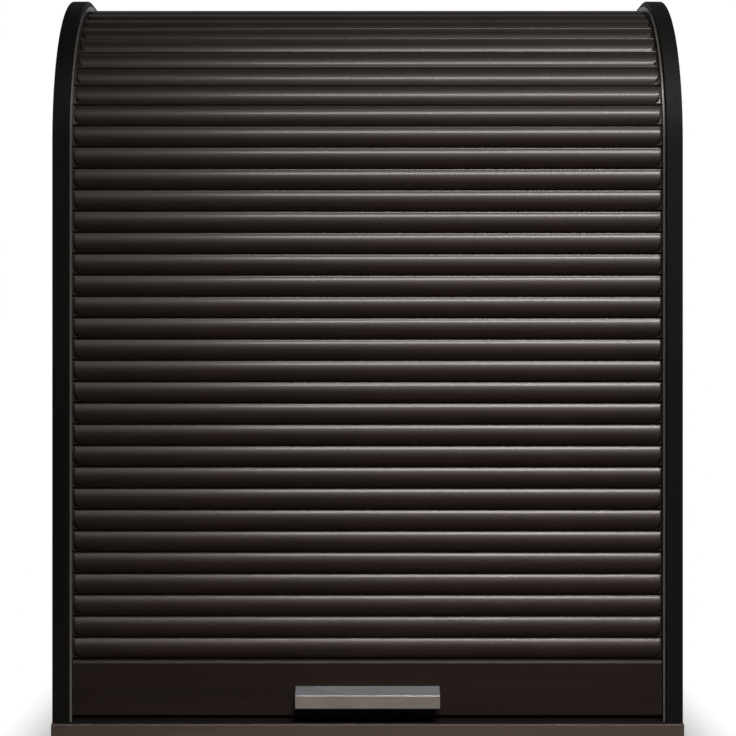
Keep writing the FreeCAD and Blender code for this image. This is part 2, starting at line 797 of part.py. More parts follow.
def handle():
    """Extruded pull: a sloping top and a raked front over a finger space that opens downwards."""
    body = new_body("handle")
    sketch = new_sketch(body, "YZ_Plane", "-handle_length / 2")
    foot_y = "rail_front - handle_reach + handle_rake"
    cavity_top = "base_thick + handle_ridge - handle_roof"
    outline(
        sketch,
        ("rail_front", "base_thick + handle_top"),
        [
            ("rail_front - handle_reach", "base_thick + handle_ridge"),
            (foot_y, "base_thick + handle_foot"),
            (f"{foot_y} + handle_lip", "base_thick + handle_foot"),
            (f"{foot_y} + handle_lip - handle_rake / 2", cavity_top),
            ("rail_front - handle_flange", f"{cavity_top} + handle_rake"),
            ("rail_front - handle_flange", "base_thick + handle_flange_foot"),
            ("rail_front", "base_thick + handle_flange_foot"),
        ],
    )
    pad(body, sketch, "handle_length")
    ridge, lip_front = number("rail_front - handle_reach"), number(foot_y)
    lip_back, foot = number(f"{foot_y} + handle_lip"), number("base_thick + handle_foot")
    rounded(
        body,
        "handle_round",
        lambda e: lies_on(e, y=ridge) or lies_on(e, y=lip_front, z=foot) or lies_on(e, y=lip_back, z=foot),
    )
    holes = [(f"{sign}handle_hole_x", "base_thick + handle_screw_height") for sign in ("-", "")]
    sketch = new_sketch(body, "XZ_Plane", "-rail_front")
    circles(sketch, "machine_screw + hole_fit / 2", holes)
    pocket(body, sketch, "handle_screw_depth", along_normal=True)
    keep(body)


def handle_screws():
    """Pan-head screws from behind the rail into the handle. The template's head is at its foot."""
    reach = "rail_thick - head_recess + handle_screw_depth - hole_fit"
    screw = turned(
        "handle_screw_template",
        [
            ("0", "-machine_head_height"),
            ("machine_head", "-machine_head_height"),
            ("machine_head", "0"),
            ("machine_screw", "0"),
            ("machine_screw", reach),
            ("0", reach),
        ],
    )
    forward = Rotation(Vector(1, 0, 0), 90)
    place = ("rail_back - head_recess", "base_thick + handle_screw_height")
    copies = [
        copy_of(screw, f"handle_screw_{n}", (f"{sign}handle_hole_x", *place), forward)
        for n, sign in enumerate(("-", ""), start=1)
    ]
    group("handle_screws", copies)


def base_fasteners():
    """Screws up through the base into the sides, and the dowels that place the sides on the base."""
    top = "base_thick + base_screw_reach"
    screw = turned(
        "base_screw_template",
        [
            ("0", "hole_fit"),
            ("base_screw_head", "hole_fit"),
            ("base_screw_head", "base_screw_cone"),
            ("base_screw_shank", "base_screw_cone + base_screw_head - base_screw_shank"),
            ("base_screw_shank", "base_thick"),
            ("base_screw", "base_thick"),
            ("base_screw", f"{top} - base_screw"),
            ("0", top),
        ],
    )
    screws = [(x, y, "0") for x in ("-side_middle", "side_middle") for y in BASE_SCREW_LINE]
    group("base_screws", [copy_of(screw, f"base_screw_{n}", p) for n, p in enumerate(screws)])
    dowel = turned(
        "dowel_template",
        [
            ("0", "0"),
            ("dowel_radius - hole_fit", "0"),
            ("dowel_radius", "dowel_chamfer"),
            ("dowel_radius", "dowel_length - dowel_chamfer"),
            ("dowel_radius - hole_fit", "dowel_length"),
            ("0", "dowel_length"),
        ],
    )
    foot = "base_thick - dowel_in_base"
    dowels = [(x, y, foot) for x in ("-side_middle", "side_middle") for y in DOWEL_LINE]
    group("base_dowels", [copy_of(dowel, f"base_dowel_{n}", p) for n, p in enumerate(dowels)])


def cam_fittings():
    """Cam discs in the ceiling board, and the bolts in the sides that they draw tight."""
    cam = new_body("cam_template")
    sketch = new_sketch(cam, "XY_Plane", "0")
    circles(sketch, "cam_radius", [("0", "0")])
    pad(cam, sketch, "cam_height")
    sketch = new_sketch(cam, "YZ_Plane", "cam_radius")
    circles(sketch, "bolt_shaft + hole_fit", [("0", "board_thick / 2")])
    pocket(cam, sketch, "cam_radius + bolt_shaft")
    sketch = new_sketch(cam, "XY_Plane", "0")
    along, across = "cam_slot_length / 2", "cam_slot_width / 2"
    rectangle(sketch, f"-{along}", along, f"-{across}", across)
    pocket(cam, sketch, "cam_slot_depth", along_normal=True)
    bolt = turned(
        "cam_bolt_template",
        [
            ("0", "-bolt_in_side"),
            ("bolt_thread", "-bolt_in_side"),
            ("bolt_thread", "0"),
            ("bolt_shaft", "0"),
            ("bolt_shaft", "cam_setback"),
            ("0", "cam_setback"),
        ],
    )
    cams, bolts = [], []
    for sign, half_turn in (("-", 180), ("", 0)):
        for y in CAM_LINE:
            count = len(cams) + 1
            turn = Rotation(Vector(0, 0, 1), half_turn)
            place = (f"{sign}(inner_half - cam_setback)", y, "ceiling_low")
            cams.append(copy_of(cam, f"cam_disc_{count}", place, turn))
            along = turn.multiply(Rotation(Vector(0, 1, 0), -90))
            place = (f"{sign}inner_half", y, CEILING_MIDDLE)
            bolts.append(copy_of(bolt, f"cam_bolt_{count}", place, along))
    group("cam_discs", cams)
    group("cam_bolts", bolts)


def shelf_pins():
    """Plain round pins that stand out of the sides under the shelf."""
    pin = turned(
        "shelf_pin_template",
        [
            ("0", "-pin_depth"),
            ("pin_radius", "-pin_depth"),
            ("pin_radius", "pin_reach - pin_radius / 2"),
            ("pin_radius / 2", "pin_reach"),
            ("0", "pin_reach"),
        ],
    )
    copies = []
    for sign, angle in (("-", 90), ("", -90)):
        for y in PIN_LINE:
            turn = Rotation(Vector(0, 1, 0), angle)
            place = (f"{sign}inner_half", y, "pin_z")
            copies.append(copy_of(pin, f"shelf_pin_{len(copies) + 1}", place, turn))
    group("shelf_pins", copies)


def panel_nails():
    """Nails that hold the rear and roof panels in their rebates, with their heads let in flush."""
    nail = turned(
        "nail_template",
        [
            ("0", "-nail_length"),
            ("nail_radius", "-nail_length + nail_radius"),
            ("nail_radius", "-nail_head_height"),
            ("nail_head", "-nail_head_height"),
            ("nail_head", "0"),
            ("0", "0"),
        ],
    )
    backward = Rotation(Vector(1, 0, 0), -90)
    copies = []
    for x in ("-" + NAIL_X, NAIL_X):
        for z in BACK_NAIL_LINE:
            copies.append(copy_of(nail, f"back_nail_{len(copies) + 1}", (x, "rear_y", z), backward))
        for y in ROOF_NAIL_LINE:
            copies.append(copy_of(nail, f"roof_nail_{len(copies) + 1}", (x, y, "top_z")))
    group("panel_nails", copies)


def check_all():
    """Stops if any object failed to build, or a piece has no sound solid."""
    doc.recompute()
    for item in doc.Objects:
        if "Invalid" in item.State or "Error" in item.State:
            raise RuntimeError(f"{item.Label} failed: {item.State}")
    for item in parts:
        if item.Shape.isNull() or not item.Shape.isValid() or not item.Shape.Solids:
            raise RuntimeError(f"{item.Label} has no sound solid")


def write_parts():
    os.makedirs("parts", exist_ok=True)
    for item in parts:
        item.Shape.exportStep(f"parts/{item.Label}.step")


def main():
    fill_sheet()
    side_panel()
    base_board()
    inner_boards()
    outer_panels()
    guide()
    shutter()
    closing_rail()
    rail_seal()
    handle()
    handle_screws()
    base_fasteners()
    cam_fittings()
    shelf_pins()
    panel_nails()
    check_all()
    write_parts()
    print(f"{len(parts)} pieces written")


main()
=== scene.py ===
"""Dresses the tambour door cabinet, from its boards to its shutter and handle, and sets up the studio."""
import json
import math

import bmesh
import bpy
from mathutils import Matrix, Vector


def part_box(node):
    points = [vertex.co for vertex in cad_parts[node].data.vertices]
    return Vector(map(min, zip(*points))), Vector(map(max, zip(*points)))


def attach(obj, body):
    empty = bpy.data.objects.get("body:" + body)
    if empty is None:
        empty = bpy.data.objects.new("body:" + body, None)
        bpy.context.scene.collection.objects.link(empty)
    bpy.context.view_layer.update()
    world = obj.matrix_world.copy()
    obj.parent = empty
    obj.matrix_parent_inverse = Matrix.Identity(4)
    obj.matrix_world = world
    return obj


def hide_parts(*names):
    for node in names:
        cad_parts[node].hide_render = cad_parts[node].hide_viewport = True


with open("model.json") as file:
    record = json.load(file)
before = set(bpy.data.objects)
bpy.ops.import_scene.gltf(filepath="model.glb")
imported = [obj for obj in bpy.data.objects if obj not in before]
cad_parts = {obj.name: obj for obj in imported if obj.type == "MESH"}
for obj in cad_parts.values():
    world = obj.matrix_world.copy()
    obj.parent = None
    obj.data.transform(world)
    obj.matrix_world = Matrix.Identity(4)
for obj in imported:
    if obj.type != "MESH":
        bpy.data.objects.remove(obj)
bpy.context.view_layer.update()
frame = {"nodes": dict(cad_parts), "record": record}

bl_info = {
    "name": "Tambour Door Cabinet",
    "version": (1, 0, 0),
    "blender": (4, 5, 0),
    "location": "3D View > Sidebar > Cabinet",
    "description": "Builds the looks of a cabinet with a shutter of slats round its packed frame",
    "category": "Object",
}

MM = 0.001
BODIES = frame["record"]["behaviour"]["bodies"]
BODY_OF = {node: body for body, nodes in BODIES.items() for node in nodes}
SLATS = sorted(name for name in frame["nodes"] if name.startswith("slat_"))
FRONT_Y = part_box("left_side_panel")[0].y
TOP_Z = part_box("left_side_panel")[1].z
BASE_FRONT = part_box("base_board")[0].y
BASE_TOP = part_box("base_board")[1].z

# thickness of the base's edge band, and height of the handle's ridge above the base, below which the handle
# is painted paler as a painted sheen
BAND_DEPTH = 1.4 * MM
RIDGE_HEIGHT = 27.2 * MM

# steps along the round parts of a slat
SHOULDER_STEPS = 6
FACE_STEPS = 20
FRONT_JAW_STEPS = 5
SOCKET_STEPS = 16
REAR_JAW_STEPS = 4
BEAD_STEPS = 16

# rings at each end of a slat's face, and how far in they reach, in widths of its round lower corner
END_STEPS = 12
END_REACH = 1.6

# how far the socket's mouth opens to the front and to the rear of straight down, in degrees
MOUTH_FRONT = 26
MOUTH_REAR = 46

# edges of a slat that bend by more than this stay sharp, and points closer than the weld become one
SHARP_BEND = math.radians(30)
WELD = 0.001 * MM

# plain colours, and the values between which most noise lies
WHITE = (1.0, 1.0, 1.0)
BLACK = (0.0, 0.0, 0.0)
NOISE_LOW = 0.3
NOISE_HIGH = 0.7

# a face is square to an axis when its normal has at least this share of it
SQUARE = 0.9

# streaks and pores of a laminate in features per metre, along the grain and across it
STREAKS = (3, 60)
PORES = (12, 900)

# noise at which a pore starts and is deepest, its greatest cover, and its shade of the laminate's colour
PORE_START = 0.52
PORE_END = 0.75
PORE_COVER = 0.5
PORE_SHADE = 0.5

# how much darker the deepest brushed lines of the handle are
BRUSH_SHADE = 0.25

# lamps ahead of the door: where they stand, where they aim, and their width and height
KEY_PLACE = (0.33, -0.96, 1.31)
KEY_AIM = (0.15, FRONT_Y, 0.3)
KEY_SIZE = (1.06, 0.16)
FOOT_PLACE = (0.15, -1.15, 1.27)
FOOT_AIM = (0, FRONT_Y, -0.1)
FOOT_SIZE = (0.9, 0.12)

# lamps beside and behind the cabinet, which aim at its middle and shine all round
FILL_PLACES = {
    "left_fill": (-1.7, 0.4, 0.4),
    "right_fill": (1.7, 0.4, 0.4),
    "rear_fill": (0, 1.8, 0.4),
}
FILL_SIZE = (0.6, 0.6)
ALL_ROUND = math.pi

# lamp straight above the roof panel, a little ahead of the panel's rear edge
ROOF_INSET = 0.04
ROOF_RISE = 0.87
ROOF_SIZE = (0.6, 0.08)

# lamps under the front edges of the boards over the compartments, which aim down and to the rear
INNER_BOARDS = {"upper_fill": "ceiling_board", "lower_fill": "shelf"}
INNER_OFFSET = Vector((0, 0.02, -0.012))
INNER_AIM = Vector((0, 0.2, -0.1))
INNER_SIZE = (0.4, 0.015)

# how far a direction points to the rear where the studio starts to turn pale, and where it is palest
DIM_UNTIL = -0.1
PALE_FROM = 0.6

# how far a direction may point up and still meet the white backdrop
BACKDROP_RISE = math.sin(math.radians(15))

# the floor, and how far the object's soft shadow reaches on it
FLOOR_RADIUS = 60
FLOOR_SEGMENTS = 96
FLOOR_TINT = (0.03, 0.022, 0.018)
FLOOR_ROUGHNESS = 0.9
SHADOW_REACH = 0.06

# what reflections see of the floor ahead of the cabinet: a warm tint, and only this share of it
AHEAD_TINT = (1.0, 0.82, 0.68)
AHEAD_SHARE = 0.06

# width of the camera's sensor in millimetres, and the shift of the photograph's framing
SENSOR_WIDTH = 36
CAMERA_SHIFT = (0.0106, -0.0092)


def length(name, description, default):
    """A size that a user may change, in metres."""
    return bpy.props.FloatProperty(
        name=name, description=description, default=default, min=0, unit="LENGTH", precision=5
    )


def colour(name, description, default):
    """A colour that a user may change, in linear light."""
    return bpy.props.FloatVectorProperty(
        name=name, description=description, default=default, min=0, max=1, size=3, subtype="COLOR"
    )


def share(name, description, default):
    """A value between none and all."""
    return bpy.props.FloatProperty(
        name=name, description=description, default=default, min=0, max=1, subtype="FACTOR"
    )


def amount(name, description, default):
    """A plain number with no unit."""
    return bpy.props.FloatProperty(name=name, description=description, default=default, min=0)


def angle(name, description, degrees):
    """An angle that a user may change, given in degrees."""
    return bpy.props.FloatProperty(
        name=name, description=description, default=math.radians(degrees), subtype="ANGLE"
    )


class CabinetSlatSettings(bpy.types.PropertyGroup):
    """Section of a slat, its foil, and the track that the slats follow"""

    pitch: length("Pitch", "Height of a slat from link to link", 20.4 * MM)
    web: length("Web", "Thickness of the flat web that carries the links", 5 * MM)
    crest: length("Crest", "How far the convex face stands ahead of the web's middle", 5.1 * MM)
    foot_drop: length("Foot drop", "How far the convex face hangs below the link", 0.8 * MM)
    shoulder: length("Shoulder drop", "Depth of the shoulder below the upper link", 2.9 * MM)
    shoulder_round: length("Shoulder round", "Radius of the shoulder's front edge", 0.5 * MM)
    socket: length("Socket radius", "Inner radius of the socket along the slat's foot", 1.7 * MM)
    bead: length("Bead radius", "Radius of the bead along the slat's head", 1.4 * MM)
    neck: length("Neck", "Thickness of the neck under the bead", 1.3 * MM)
    end_round: length("End round", "Radius of the ends of the convex face", 1.0 * MM)
    corner_width: length("Corner width", "Width of the rounded lower corners", 5 * MM)
    corner_height: length("Corner height", "Height of the rounded lower corners", 9 * MM)
    end_gap: length("End gap", "Gap between the convex face and the guide's lip", 1.2 * MM)
    track_recess: length("Track recess", "Depth of the links behind the edge of the sides", 14 * MM)
    arc_radius: length("Top radius", "Radius of the round top of the sides", 163 * MM)
    front_pitches: bpy.props.IntProperty(
        name="Front slats", description="Slats on the straight front", default=24, min=1
    )
    tint: colour("Colour", "Foil of the slats", (0.012, 0.0064, 0.0048))
    gloss: colour("Gloss", "Tint of the foil's reflections", (1.0, 0.9, 0.83))
    roughness: share("Roughness", "Satin of the slats", 0.52)
    coat: share("Lacquer", "Share of the clear lacquer on the foil", 0.22)
    coat_roughness: share("Lacquer roughness", "Satin of the lacquer", 0.2)


class CabinetBoardSettings(bpy.types.PropertyGroup):
    """Colours of the carcass, the rail, the handle and the fittings"""

    side: colour("Sides", "Laminate of the sides and the roof", (0.013, 0.0094, 0.0076))
    edge: colour("Edges", "Edge band of the sides and laminate of the base", (0.0034, 0.003, 0.0024))
    base: colour("Base", "Edge band along the front of the base", (0.065, 0.046, 0.0395))
    inner: colour("Inside", "Laminate of the shelf and the ceiling", (0.045, 0.034, 0.028))
    back: colour("Back", "Thin panels behind the compartments and at the rear", (0.05, 0.038, 0.03))
    rail: colour("Rail", "Laminate of the closing rail", (0.0112, 0.006, 0.0046))
    guide: colour("Guides", "Plastic of the guides", (0.09, 0.083, 0.075))
    metal: colour("Handle", "Anodised aluminium of the handle", (0.27, 0.27, 0.285))
    # painted sheen: the handle's aluminium painted paler and warmer below its ridge, for the light that its
    # lower face catches
    painted_lower_sheen: colour("Grip", "Aluminium below the handle's ridge", (0.56, 0.52, 0.465))
    zinc: colour("Fittings", "Zinc-plated steel of the fittings", (0.5, 0.5, 0.5))
    beech: colour("Dowels", "Plain beech of the dowels", (0.52, 0.36, 0.21))
    rubber: colour("Seal", "Rubber of the seal", (0.006, 0.0036, 0.003))


class CabinetStageSettings(bpy.types.PropertyGroup):
    """Camera and light of the studio"""

    camera_gap: length("Camera distance", "From the camera to the front of the sides", 1.788)
    camera_x: bpy.props.FloatProperty(
        name="Camera X", description="Sideways place of the camera", default=-0.007, unit="LENGTH"
    )
    camera_height: length("Camera height", "Above the base's underside", 0.362)
    lens: amount("Lens", "Focal length on a 36 mm sensor, in millimetres", 92.0)
    key_power: amount("Key light", "Power of the large lamp at the upper right, in watts", 3.5)
    key_spread: angle("Key spread", "Angle of the grid on the large lamp", 57)
    foot_power: amount("Foot light", "Power of the small lamp for the foot of the door, in watts", 0.6)
    foot_spread: angle("Foot spread", "Angle of the grids on the foot light and the roof light", 18)
    fill_power: amount("Fill light", "Power of each lamp beside and behind the cabinet, in watts", 16.0)
    roof_power: amount("Roof light", "Power of the lamp straight above the roof, in watts", 0.25)
    inner_power: amount("Inner light", "Power of the lamp in each compartment, in watts", 0.3)
    dim_world: share("Dim studio", "Strength of the dark front half of the studio", 0.02)
    rear_world: share("Rear studio", "Strength of the paler rear half of the studio", 0.25)


class CabinetSettings(bpy.types.PropertyGroup):
    """All that a user may change"""

    slat: bpy.props.PointerProperty(type=CabinetSlatSettings)
    board: bpy.props.PointerProperty(type=CabinetBoardSettings)
    stage: bpy.props.PointerProperty(type=CabinetStageSettings)


def settings():
    """The values of the open scene that a user may change."""
    return bpy.context.scene.tambour_cabinet


class Wiring:
    """The nodes of a material or a world, and the ways to add and link them."""

    def __init__(self, owner):
        owner.use_nodes = True
        self.nodes = owner.node_tree.nodes
        self.links = owner.node_tree.links

    def add(self, kind, **inputs):
        """A node whose inputs are numbers, or sockets of other nodes to link."""
        made = self.nodes.new(kind)
        for name, value in inputs.items():
            self.give(made.inputs[name.replace("_", " ")], value)
        return made

    def give(self, socket, value):
        """Sets a socket to a number or a colour, or links it to another node's socket."""
        if isinstance(value, bpy.types.NodeSocket):
            self.links.new(value, socket)
        elif isinstance(value, tuple) and len(value) < len(socket.default_value):
            socket.default_value = (*value, 1)
        else:
            socket.default_value = value

    def math(self, operation, *values):
        """The result of a sum on numbers or sockets."""
        made = self.nodes.new("ShaderNodeMath")
        made.operation = operation
        for socket, value in zip(made.inputs, values):
            self.give(socket, value)
        return made.outputs["Value"]

    def between(self, source, low, high, start=NOISE_LOW, end=NOISE_HIGH, ease="LINEAR"):
        """Maps noise, or another value, onto a range of values."""
        made = self.nodes.new("ShaderNodeMapRange")
        made.interpolation_type = ease
        self.links.new(source, made.inputs["Value"])
        for name, value in (("From Min", start), ("From Max", end), ("To Min", low), ("To Max", high)):
            made.inputs[name].default_value = value
        return made.outputs["Result"]

    def mirrored(self, ray):
        """One for rays that metal or glass sends on, and nothing for others."""
        return self.math("MAXIMUM", ray["Is Glossy Ray"], ray["Is Transmission Ray"])


class Finish(Wiring):
    """A material under construction: its nodes, and the Principled shader that they feed."""

    def __init__(self, name, tint, roughness, shine=0.5):
        self.material = bpy.data.materials.new(name)
        super().__init__(self.material)
        self.shader = self.nodes["Principled BSDF"]
        self.tint = tint
        self.roughness = roughness
        self.set("Base Color", (*tint, 1))
        self.set("Roughness", roughness)
        self.set("Specular IOR Level", shine)

    def set(self, socket, value):
        """Sets one of the shader's sockets to a number or a colour."""
        self.shader.inputs[socket].default_value = value

    def feed(self, socket, source):
        """Links one of the shader's sockets to another node's socket."""
        self.links.new(source, self.shader.inputs[socket])

    def place(self):
        """Place on the piece, in metres."""
        return self.add("ShaderNodeTexCoord").outputs["Object"]

    def below(self, axis, level):
        """One where the piece lies below a level along X, Y or Z, and nothing elsewhere."""
        parts = self.add("ShaderNodeSeparateXYZ", Vector=self.place())
        return self.math("LESS_THAN", parts.outputs[axis], level)

    def aside(self, axis):
        """One on faces that aren't square to X, Y or Z, and nothing on those that are."""
        normal = self.add("ShaderNodeNewGeometry").outputs["True Normal"]
        parts = self.add("ShaderNodeSeparateXYZ", Vector=normal)
        return self.math("LESS_THAN", self.math("ABSOLUTE", parts.outputs[axis]), SQUARE)

    def noise(self, per_metre, detail, roughness=0.55):
        """Noise with so many features per metre in X, Y and Z."""
        spread = self.add("ShaderNodeMapping", Vector=self.place(), Scale=per_metre).outputs["Vector"]
        made = self.add("ShaderNodeTexNoise", Vector=spread, Scale=1.0, Detail=detail, Roughness=roughness)
        return made.outputs["Fac"]

    def mix(self, factor, first, second):
        """A blend of two colours, each a tuple or a socket."""
        made = self.nodes.new("ShaderNodeMix")
        made.data_type = "RGBA"
        sockets = [s for s in made.inputs if s.enabled]
        for socket, value in zip(sockets, (factor, first, second)):
            self.give(socket, value)
        return next(s for s in made.outputs if s.enabled)

    def shade(self, source, darkest, lightest, tint=None):
        """A tint, or else the finish's own, that noise takes from a darker to a lighter share of it."""
        tint = tint or self.tint
        return self.mix(self.between(source, 0.0, 1.0), scaled(tint, darkest), scaled(tint, lightest))

    def satin(self, source, less, more):
        """Lets noise take the roughness a little below and above its usual value."""
        self.feed("Roughness", self.between(source, self.roughness - less, self.roughness + more))

    def relief(self, source, depth, strength):
        """Lets noise raise the surface, by a depth in metres."""
        made = self.add("ShaderNodeBump", Height=source, Distance=depth, Strength=strength)
        self.feed("Normal", made.outputs["Normal"])


def scaled(tint, factor):
    """A colour made lighter or darker."""
    return tuple(min(1.0, channel * factor) for channel in tint)


def along(grain, rates):
    """Features per metre in X, Y and Z, for a grain that runs along "x", "y" or "z"."""
    lengthwise, across = rates
    return tuple(lengthwise if axis == grain else across for axis in "xyz")


def laminate(name, tint, grain, roughness, shine=0.3, contrast=0.25, edge=None):
    """Satin foil on board, with streaks and fine pores along its grain.

    An edge, if one is given, is the colour of an edge band and a function that marks where it lies.
    """
    finish = Finish(name, tint, roughness, shine)
    pores = finish.noise(along(grain, PORES), detail=4)
    streaks = finish.noise(along(grain, STREAKS), detail=5)
    shade = finish.shade(streaks, darkest=1 - contrast, lightest=1 + contrast)
    cover = finish.between(pores, 0.0, PORE_COVER, PORE_START, PORE_END)
    surface = finish.mix(cover, shade, scaled(tint, PORE_SHADE))
    if edge:
        edge_tint, marked = edge
        band = finish.shade(streaks, darkest=0.85, lightest=1.15, tint=edge_tint)
        surface = finish.mix(marked(finish), surface, band)
    finish.feed("Base Color", surface)
    finish.satin(pores, less=0.05, more=0.07)
    finish.relief(pores, depth=0.03 * MM, strength=0.5)
    return finish.material


def slat_foil(values):
    """Lacquered satin foil on the slats, drawn out along their length."""
    finish = Finish("slat_foil", tuple(values.tint), values.roughness, shine=0.4)
    drawn = finish.noise(per_metre=(6, 1500, 1500), detail=3)
    cloud = finish.noise(per_metre=(18, 60, 60), detail=4)
    finish.feed("Base Color", finish.shade(cloud, darkest=0.86, lightest=1.14))
    finish.satin(drawn, less=0.04, more=0.06)
    finish.relief(drawn, depth=0.012 * MM, strength=0.5)
    finish.set("Specular Tint", (*values.gloss, 1))
    finish.set("Coat Weight", values.coat)
    finish.set("Coat Roughness", values.coat_roughness)
    return finish.material


def guide_plastic(tint):
    """Satin plastic with a faint grain."""
    finish = Finish("guide_plastic", tint, roughness=0.42)
    grain = finish.noise(per_metre=(400, 400, 400), detail=3)
    finish.feed("Base Color", finish.shade(grain, darkest=0.85, lightest=1.15))
    finish.satin(grain, less=0.06, more=0.06)
    finish.relief(grain, depth=0.015 * MM, strength=0.4)
    return finish.material


def brushed_aluminium(tint, painted_lower_sheen, ridge):
    """Satin anodised aluminium, brushed along the handle, and painted paler and warmer below its ridge: a
    painted sheen for the light that its lower face catches.
    """
    finish = Finish("brushed_aluminium", tint, roughness=0.58)
    finish.set("Metallic", 1.0)
    lines = finish.noise(per_metre=(14, 3200, 3200), detail=4, roughness=0.7)
    patches = finish.noise(per_metre=(40, 120, 120), detail=2)
    # painted sheen: below the ridge the colour turns to the paler one, standing in for the lower face's
    # brighter reflection
    plain = finish.mix(finish.below("Z", ridge), tint, painted_lower_sheen)
    finish.feed("Base Color", finish.mix(finish.between(lines, 0.0, BRUSH_SHADE), plain, BLACK))
    finish.satin(patches, less=0.05, more=0.05)
    finish.relief(lines, depth=0.01 * MM, strength=0.6)
    return finish.material


def zinc_plate(tint):
    """Bright zinc on steel, with a faint mottle."""
    finish = Finish("zinc_plate", tint, roughness=0.35)
    finish.set("Metallic", 1.0)
    mottle = finish.noise(per_metre=(700, 700, 700), detail=4)
    finish.feed("Base Color", finish.shade(mottle, darkest=0.8, lightest=1.15))
    finish.satin(mottle, less=0.07, more=0.1)
    return finish.material


def beech_wood(tint):
    """Plain beech with short flecks."""
    finish = Finish("beech_wood", tint, roughness=0.6)
    flecks = finish.noise(per_metre=(1400, 1400, 160), detail=4)
    finish.feed("Base Color", finish.shade(flecks, darkest=0.75, lightest=1.1))
    finish.relief(flecks, depth=0.05 * MM, strength=0.5)
    return finish.material


def seal_rubber(tint):
    """Matt black rubber."""
    finish = Finish("seal_rubber", tint, roughness=0.7, shine=0.1)
    grain = finish.noise(per_metre=(900, 900, 900), detail=3)
    finish.satin(grain, less=0.1, more=0.1)
    finish.relief(grain, depth=0.03 * MM, strength=0.5)
    return finish.material


def dress(material, *nodes):
    """Gives CAD nodes their finish."""
    for name in nodes:
        mesh = frame["nodes"][name].data
        mesh.materials.clear()
        mesh.materials.append(material)


def add_object(name, data):
    """Adds a mesh, a lamp or a camera to the scene."""
    made = bpy.data.objects.new(name, data)
    bpy.context.scene.collection.objects.link(made)
    return made


def mesh_from(work, name):
    """Turns a finished bmesh into a mesh."""
    mesh = bpy.data.meshes.new(name)
    work.to_mesh(mesh)
    work.free()
    return mesh


def arc_points(centre, radius, first, last, steps):
    """Points of an arc from one angle to another, in degrees, both ends included."""
    angles = (math.radians(first + (last - first) * step / steps) for step in range(steps + 1))
    return [(centre[0] + radius * math.cos(a), centre[1] + radius * math.sin(a)) for a in angles]


def face_arc(values):
    """Points down the convex face of a slat, from its upper edge to its foot."""
    low, high = -values.foot_drop, values.pitch - values.shoulder - values.shoulder_round
    rise, chord = values.crest - values.web / 2, high - low
    radius = ((chord / 2) ** 2 + rise**2) / (2 * rise)
    swing = math.degrees(math.asin(chord / 2 / radius))
    centre = (radius - values.crest, (low + high) / 2)
    return arc_points(centre, radius, 180 - swing, 180 + swing, FACE_STEPS)


def fullness(values, inset, z):
    """Share of the face's height that is left at a distance from its end and its round lower corner."""
    edge, up = inset, z + values.foot_drop
    width, height = values.corner_width, values.corner_height
    radius = (width**2 + height**2) / (2 * width)
    if up < height and inset < radius:
        edge = min(inset, radius - math.hypot(radius - inset, height - up))
    share_in = min(max(edge / values.end_round, 0), 1)
    return math.sqrt(1 - (1 - share_in) ** 2)


def slat_section(values, inset):
    """Outline of a slat in Y and Z about its lower link, at a distance from the end of its face."""
    half, neck = values.web / 2, values.neck / 2
    shoulder = values.pitch - values.shoulder
    corner = values.shoulder_round
    points = arc_points((corner - half, shoulder - corner), corner, 90, 180, SHOULDER_STEPS)
    for y, z in face_arc(values):
        points.append((-half + (y + half) * fullness(values, inset, z), z))
    front_jaw, rear_jaw = 270 - MOUTH_FRONT, 270 + MOUTH_REAR
    covered = math.degrees(math.asin(values.foot_drop / half))
    points += arc_points((0, 0), half, 180 + covered, front_jaw, FRONT_JAW_STEPS)
    points += arc_points((0, 0), values.socket, front_jaw, rear_jaw - 360, SOCKET_STEPS)
    points += arc_points((0, 0), half, rear_jaw, 360, REAR_JAW_STEPS)
    points += [(half, shoulder), (neck, shoulder)]
    opening = math.degrees(math.asin(neck / values.bead))
    points += arc_points((0, values.pitch), values.bead, opening - 90, 270 - opening, BEAD_STEPS)
    points.append((-neck, shoulder))
    return points


def slat_mesh(values, tongue_half, face_half):
    """A slat along X, of rings of its section: plain along the tongues, rolled off at the face's ends."""
    reach = END_REACH * values.corner_width
    insets = [reach * (1 - math.cos(math.pi / 2 * step / END_STEPS)) for step in range(END_STEPS + 1)]
    right = [(tongue_half, 0.0)] + [(face_half - inset, inset) for inset in insets]
    stations = [(-x, inset) for x, inset in right] + list(reversed(right))
    work = bmesh.new()
    rings = []
    for x, inset in stations:
        rings.append([work.verts.new((x, y, z)) for y, z in slat_section(values, inset)])
    total = len(rings[0])
    for here, there in zip(rings, rings[1:]):
        for n in range(total):
            after = (n + 1) % total
            work.faces.new((here[n], there[n], there[after], here[after]))
    work.faces.new(rings[0])
    work.faces.new(list(reversed(rings[-1])))
    bmesh.ops.remove_doubles(work, verts=work.verts, dist=WELD)
    bmesh.ops.recalc_face_normals(work, faces=work.faces)
    mesh = mesh_from(work, "slat")
    mesh.shade_smooth()
    mesh.set_sharp_from_angle(angle=SHARP_BEND)
    return mesh


def new_piece(name, mesh, finish, node):
    """Adds a mesh to the object as a piece that stands for a CAD node and rides on its body."""
    piece = add_object(name, mesh)
    mesh.materials.append(finish)
    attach(piece, BODY_OF[node])
    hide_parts(node)
    return piece


class Track:
    """The line that the links follow: up the front, round the top and back along the roof."""

    def __init__(self, values):
        self.front_y = FRONT_Y + values.track_recess
        self.arc_y = FRONT_Y + values.arc_radius
        self.arc_z = TOP_Z - values.arc_radius
        self.start_z = self.arc_z - values.front_pitches * values.pitch
        self.radius = values.arc_radius - values.track_recess

    def point(self, run):
        """Y and Z of a link that has come this far from the rail's link."""
        front, arc = self.arc_z - self.start_z, math.pi / 2 * self.radius
        if run <= front:
            return Vector((self.front_y, self.start_z + run))
        if run <= front + arc:
            turn = (run - front) / self.radius
            centre = Vector((self.arc_y, self.arc_z))
            return centre + self.radius * Vector((-math.cos(turn), math.sin(turn)))
        return Vector((self.arc_y + run - front - arc, self.arc_z + self.radius))


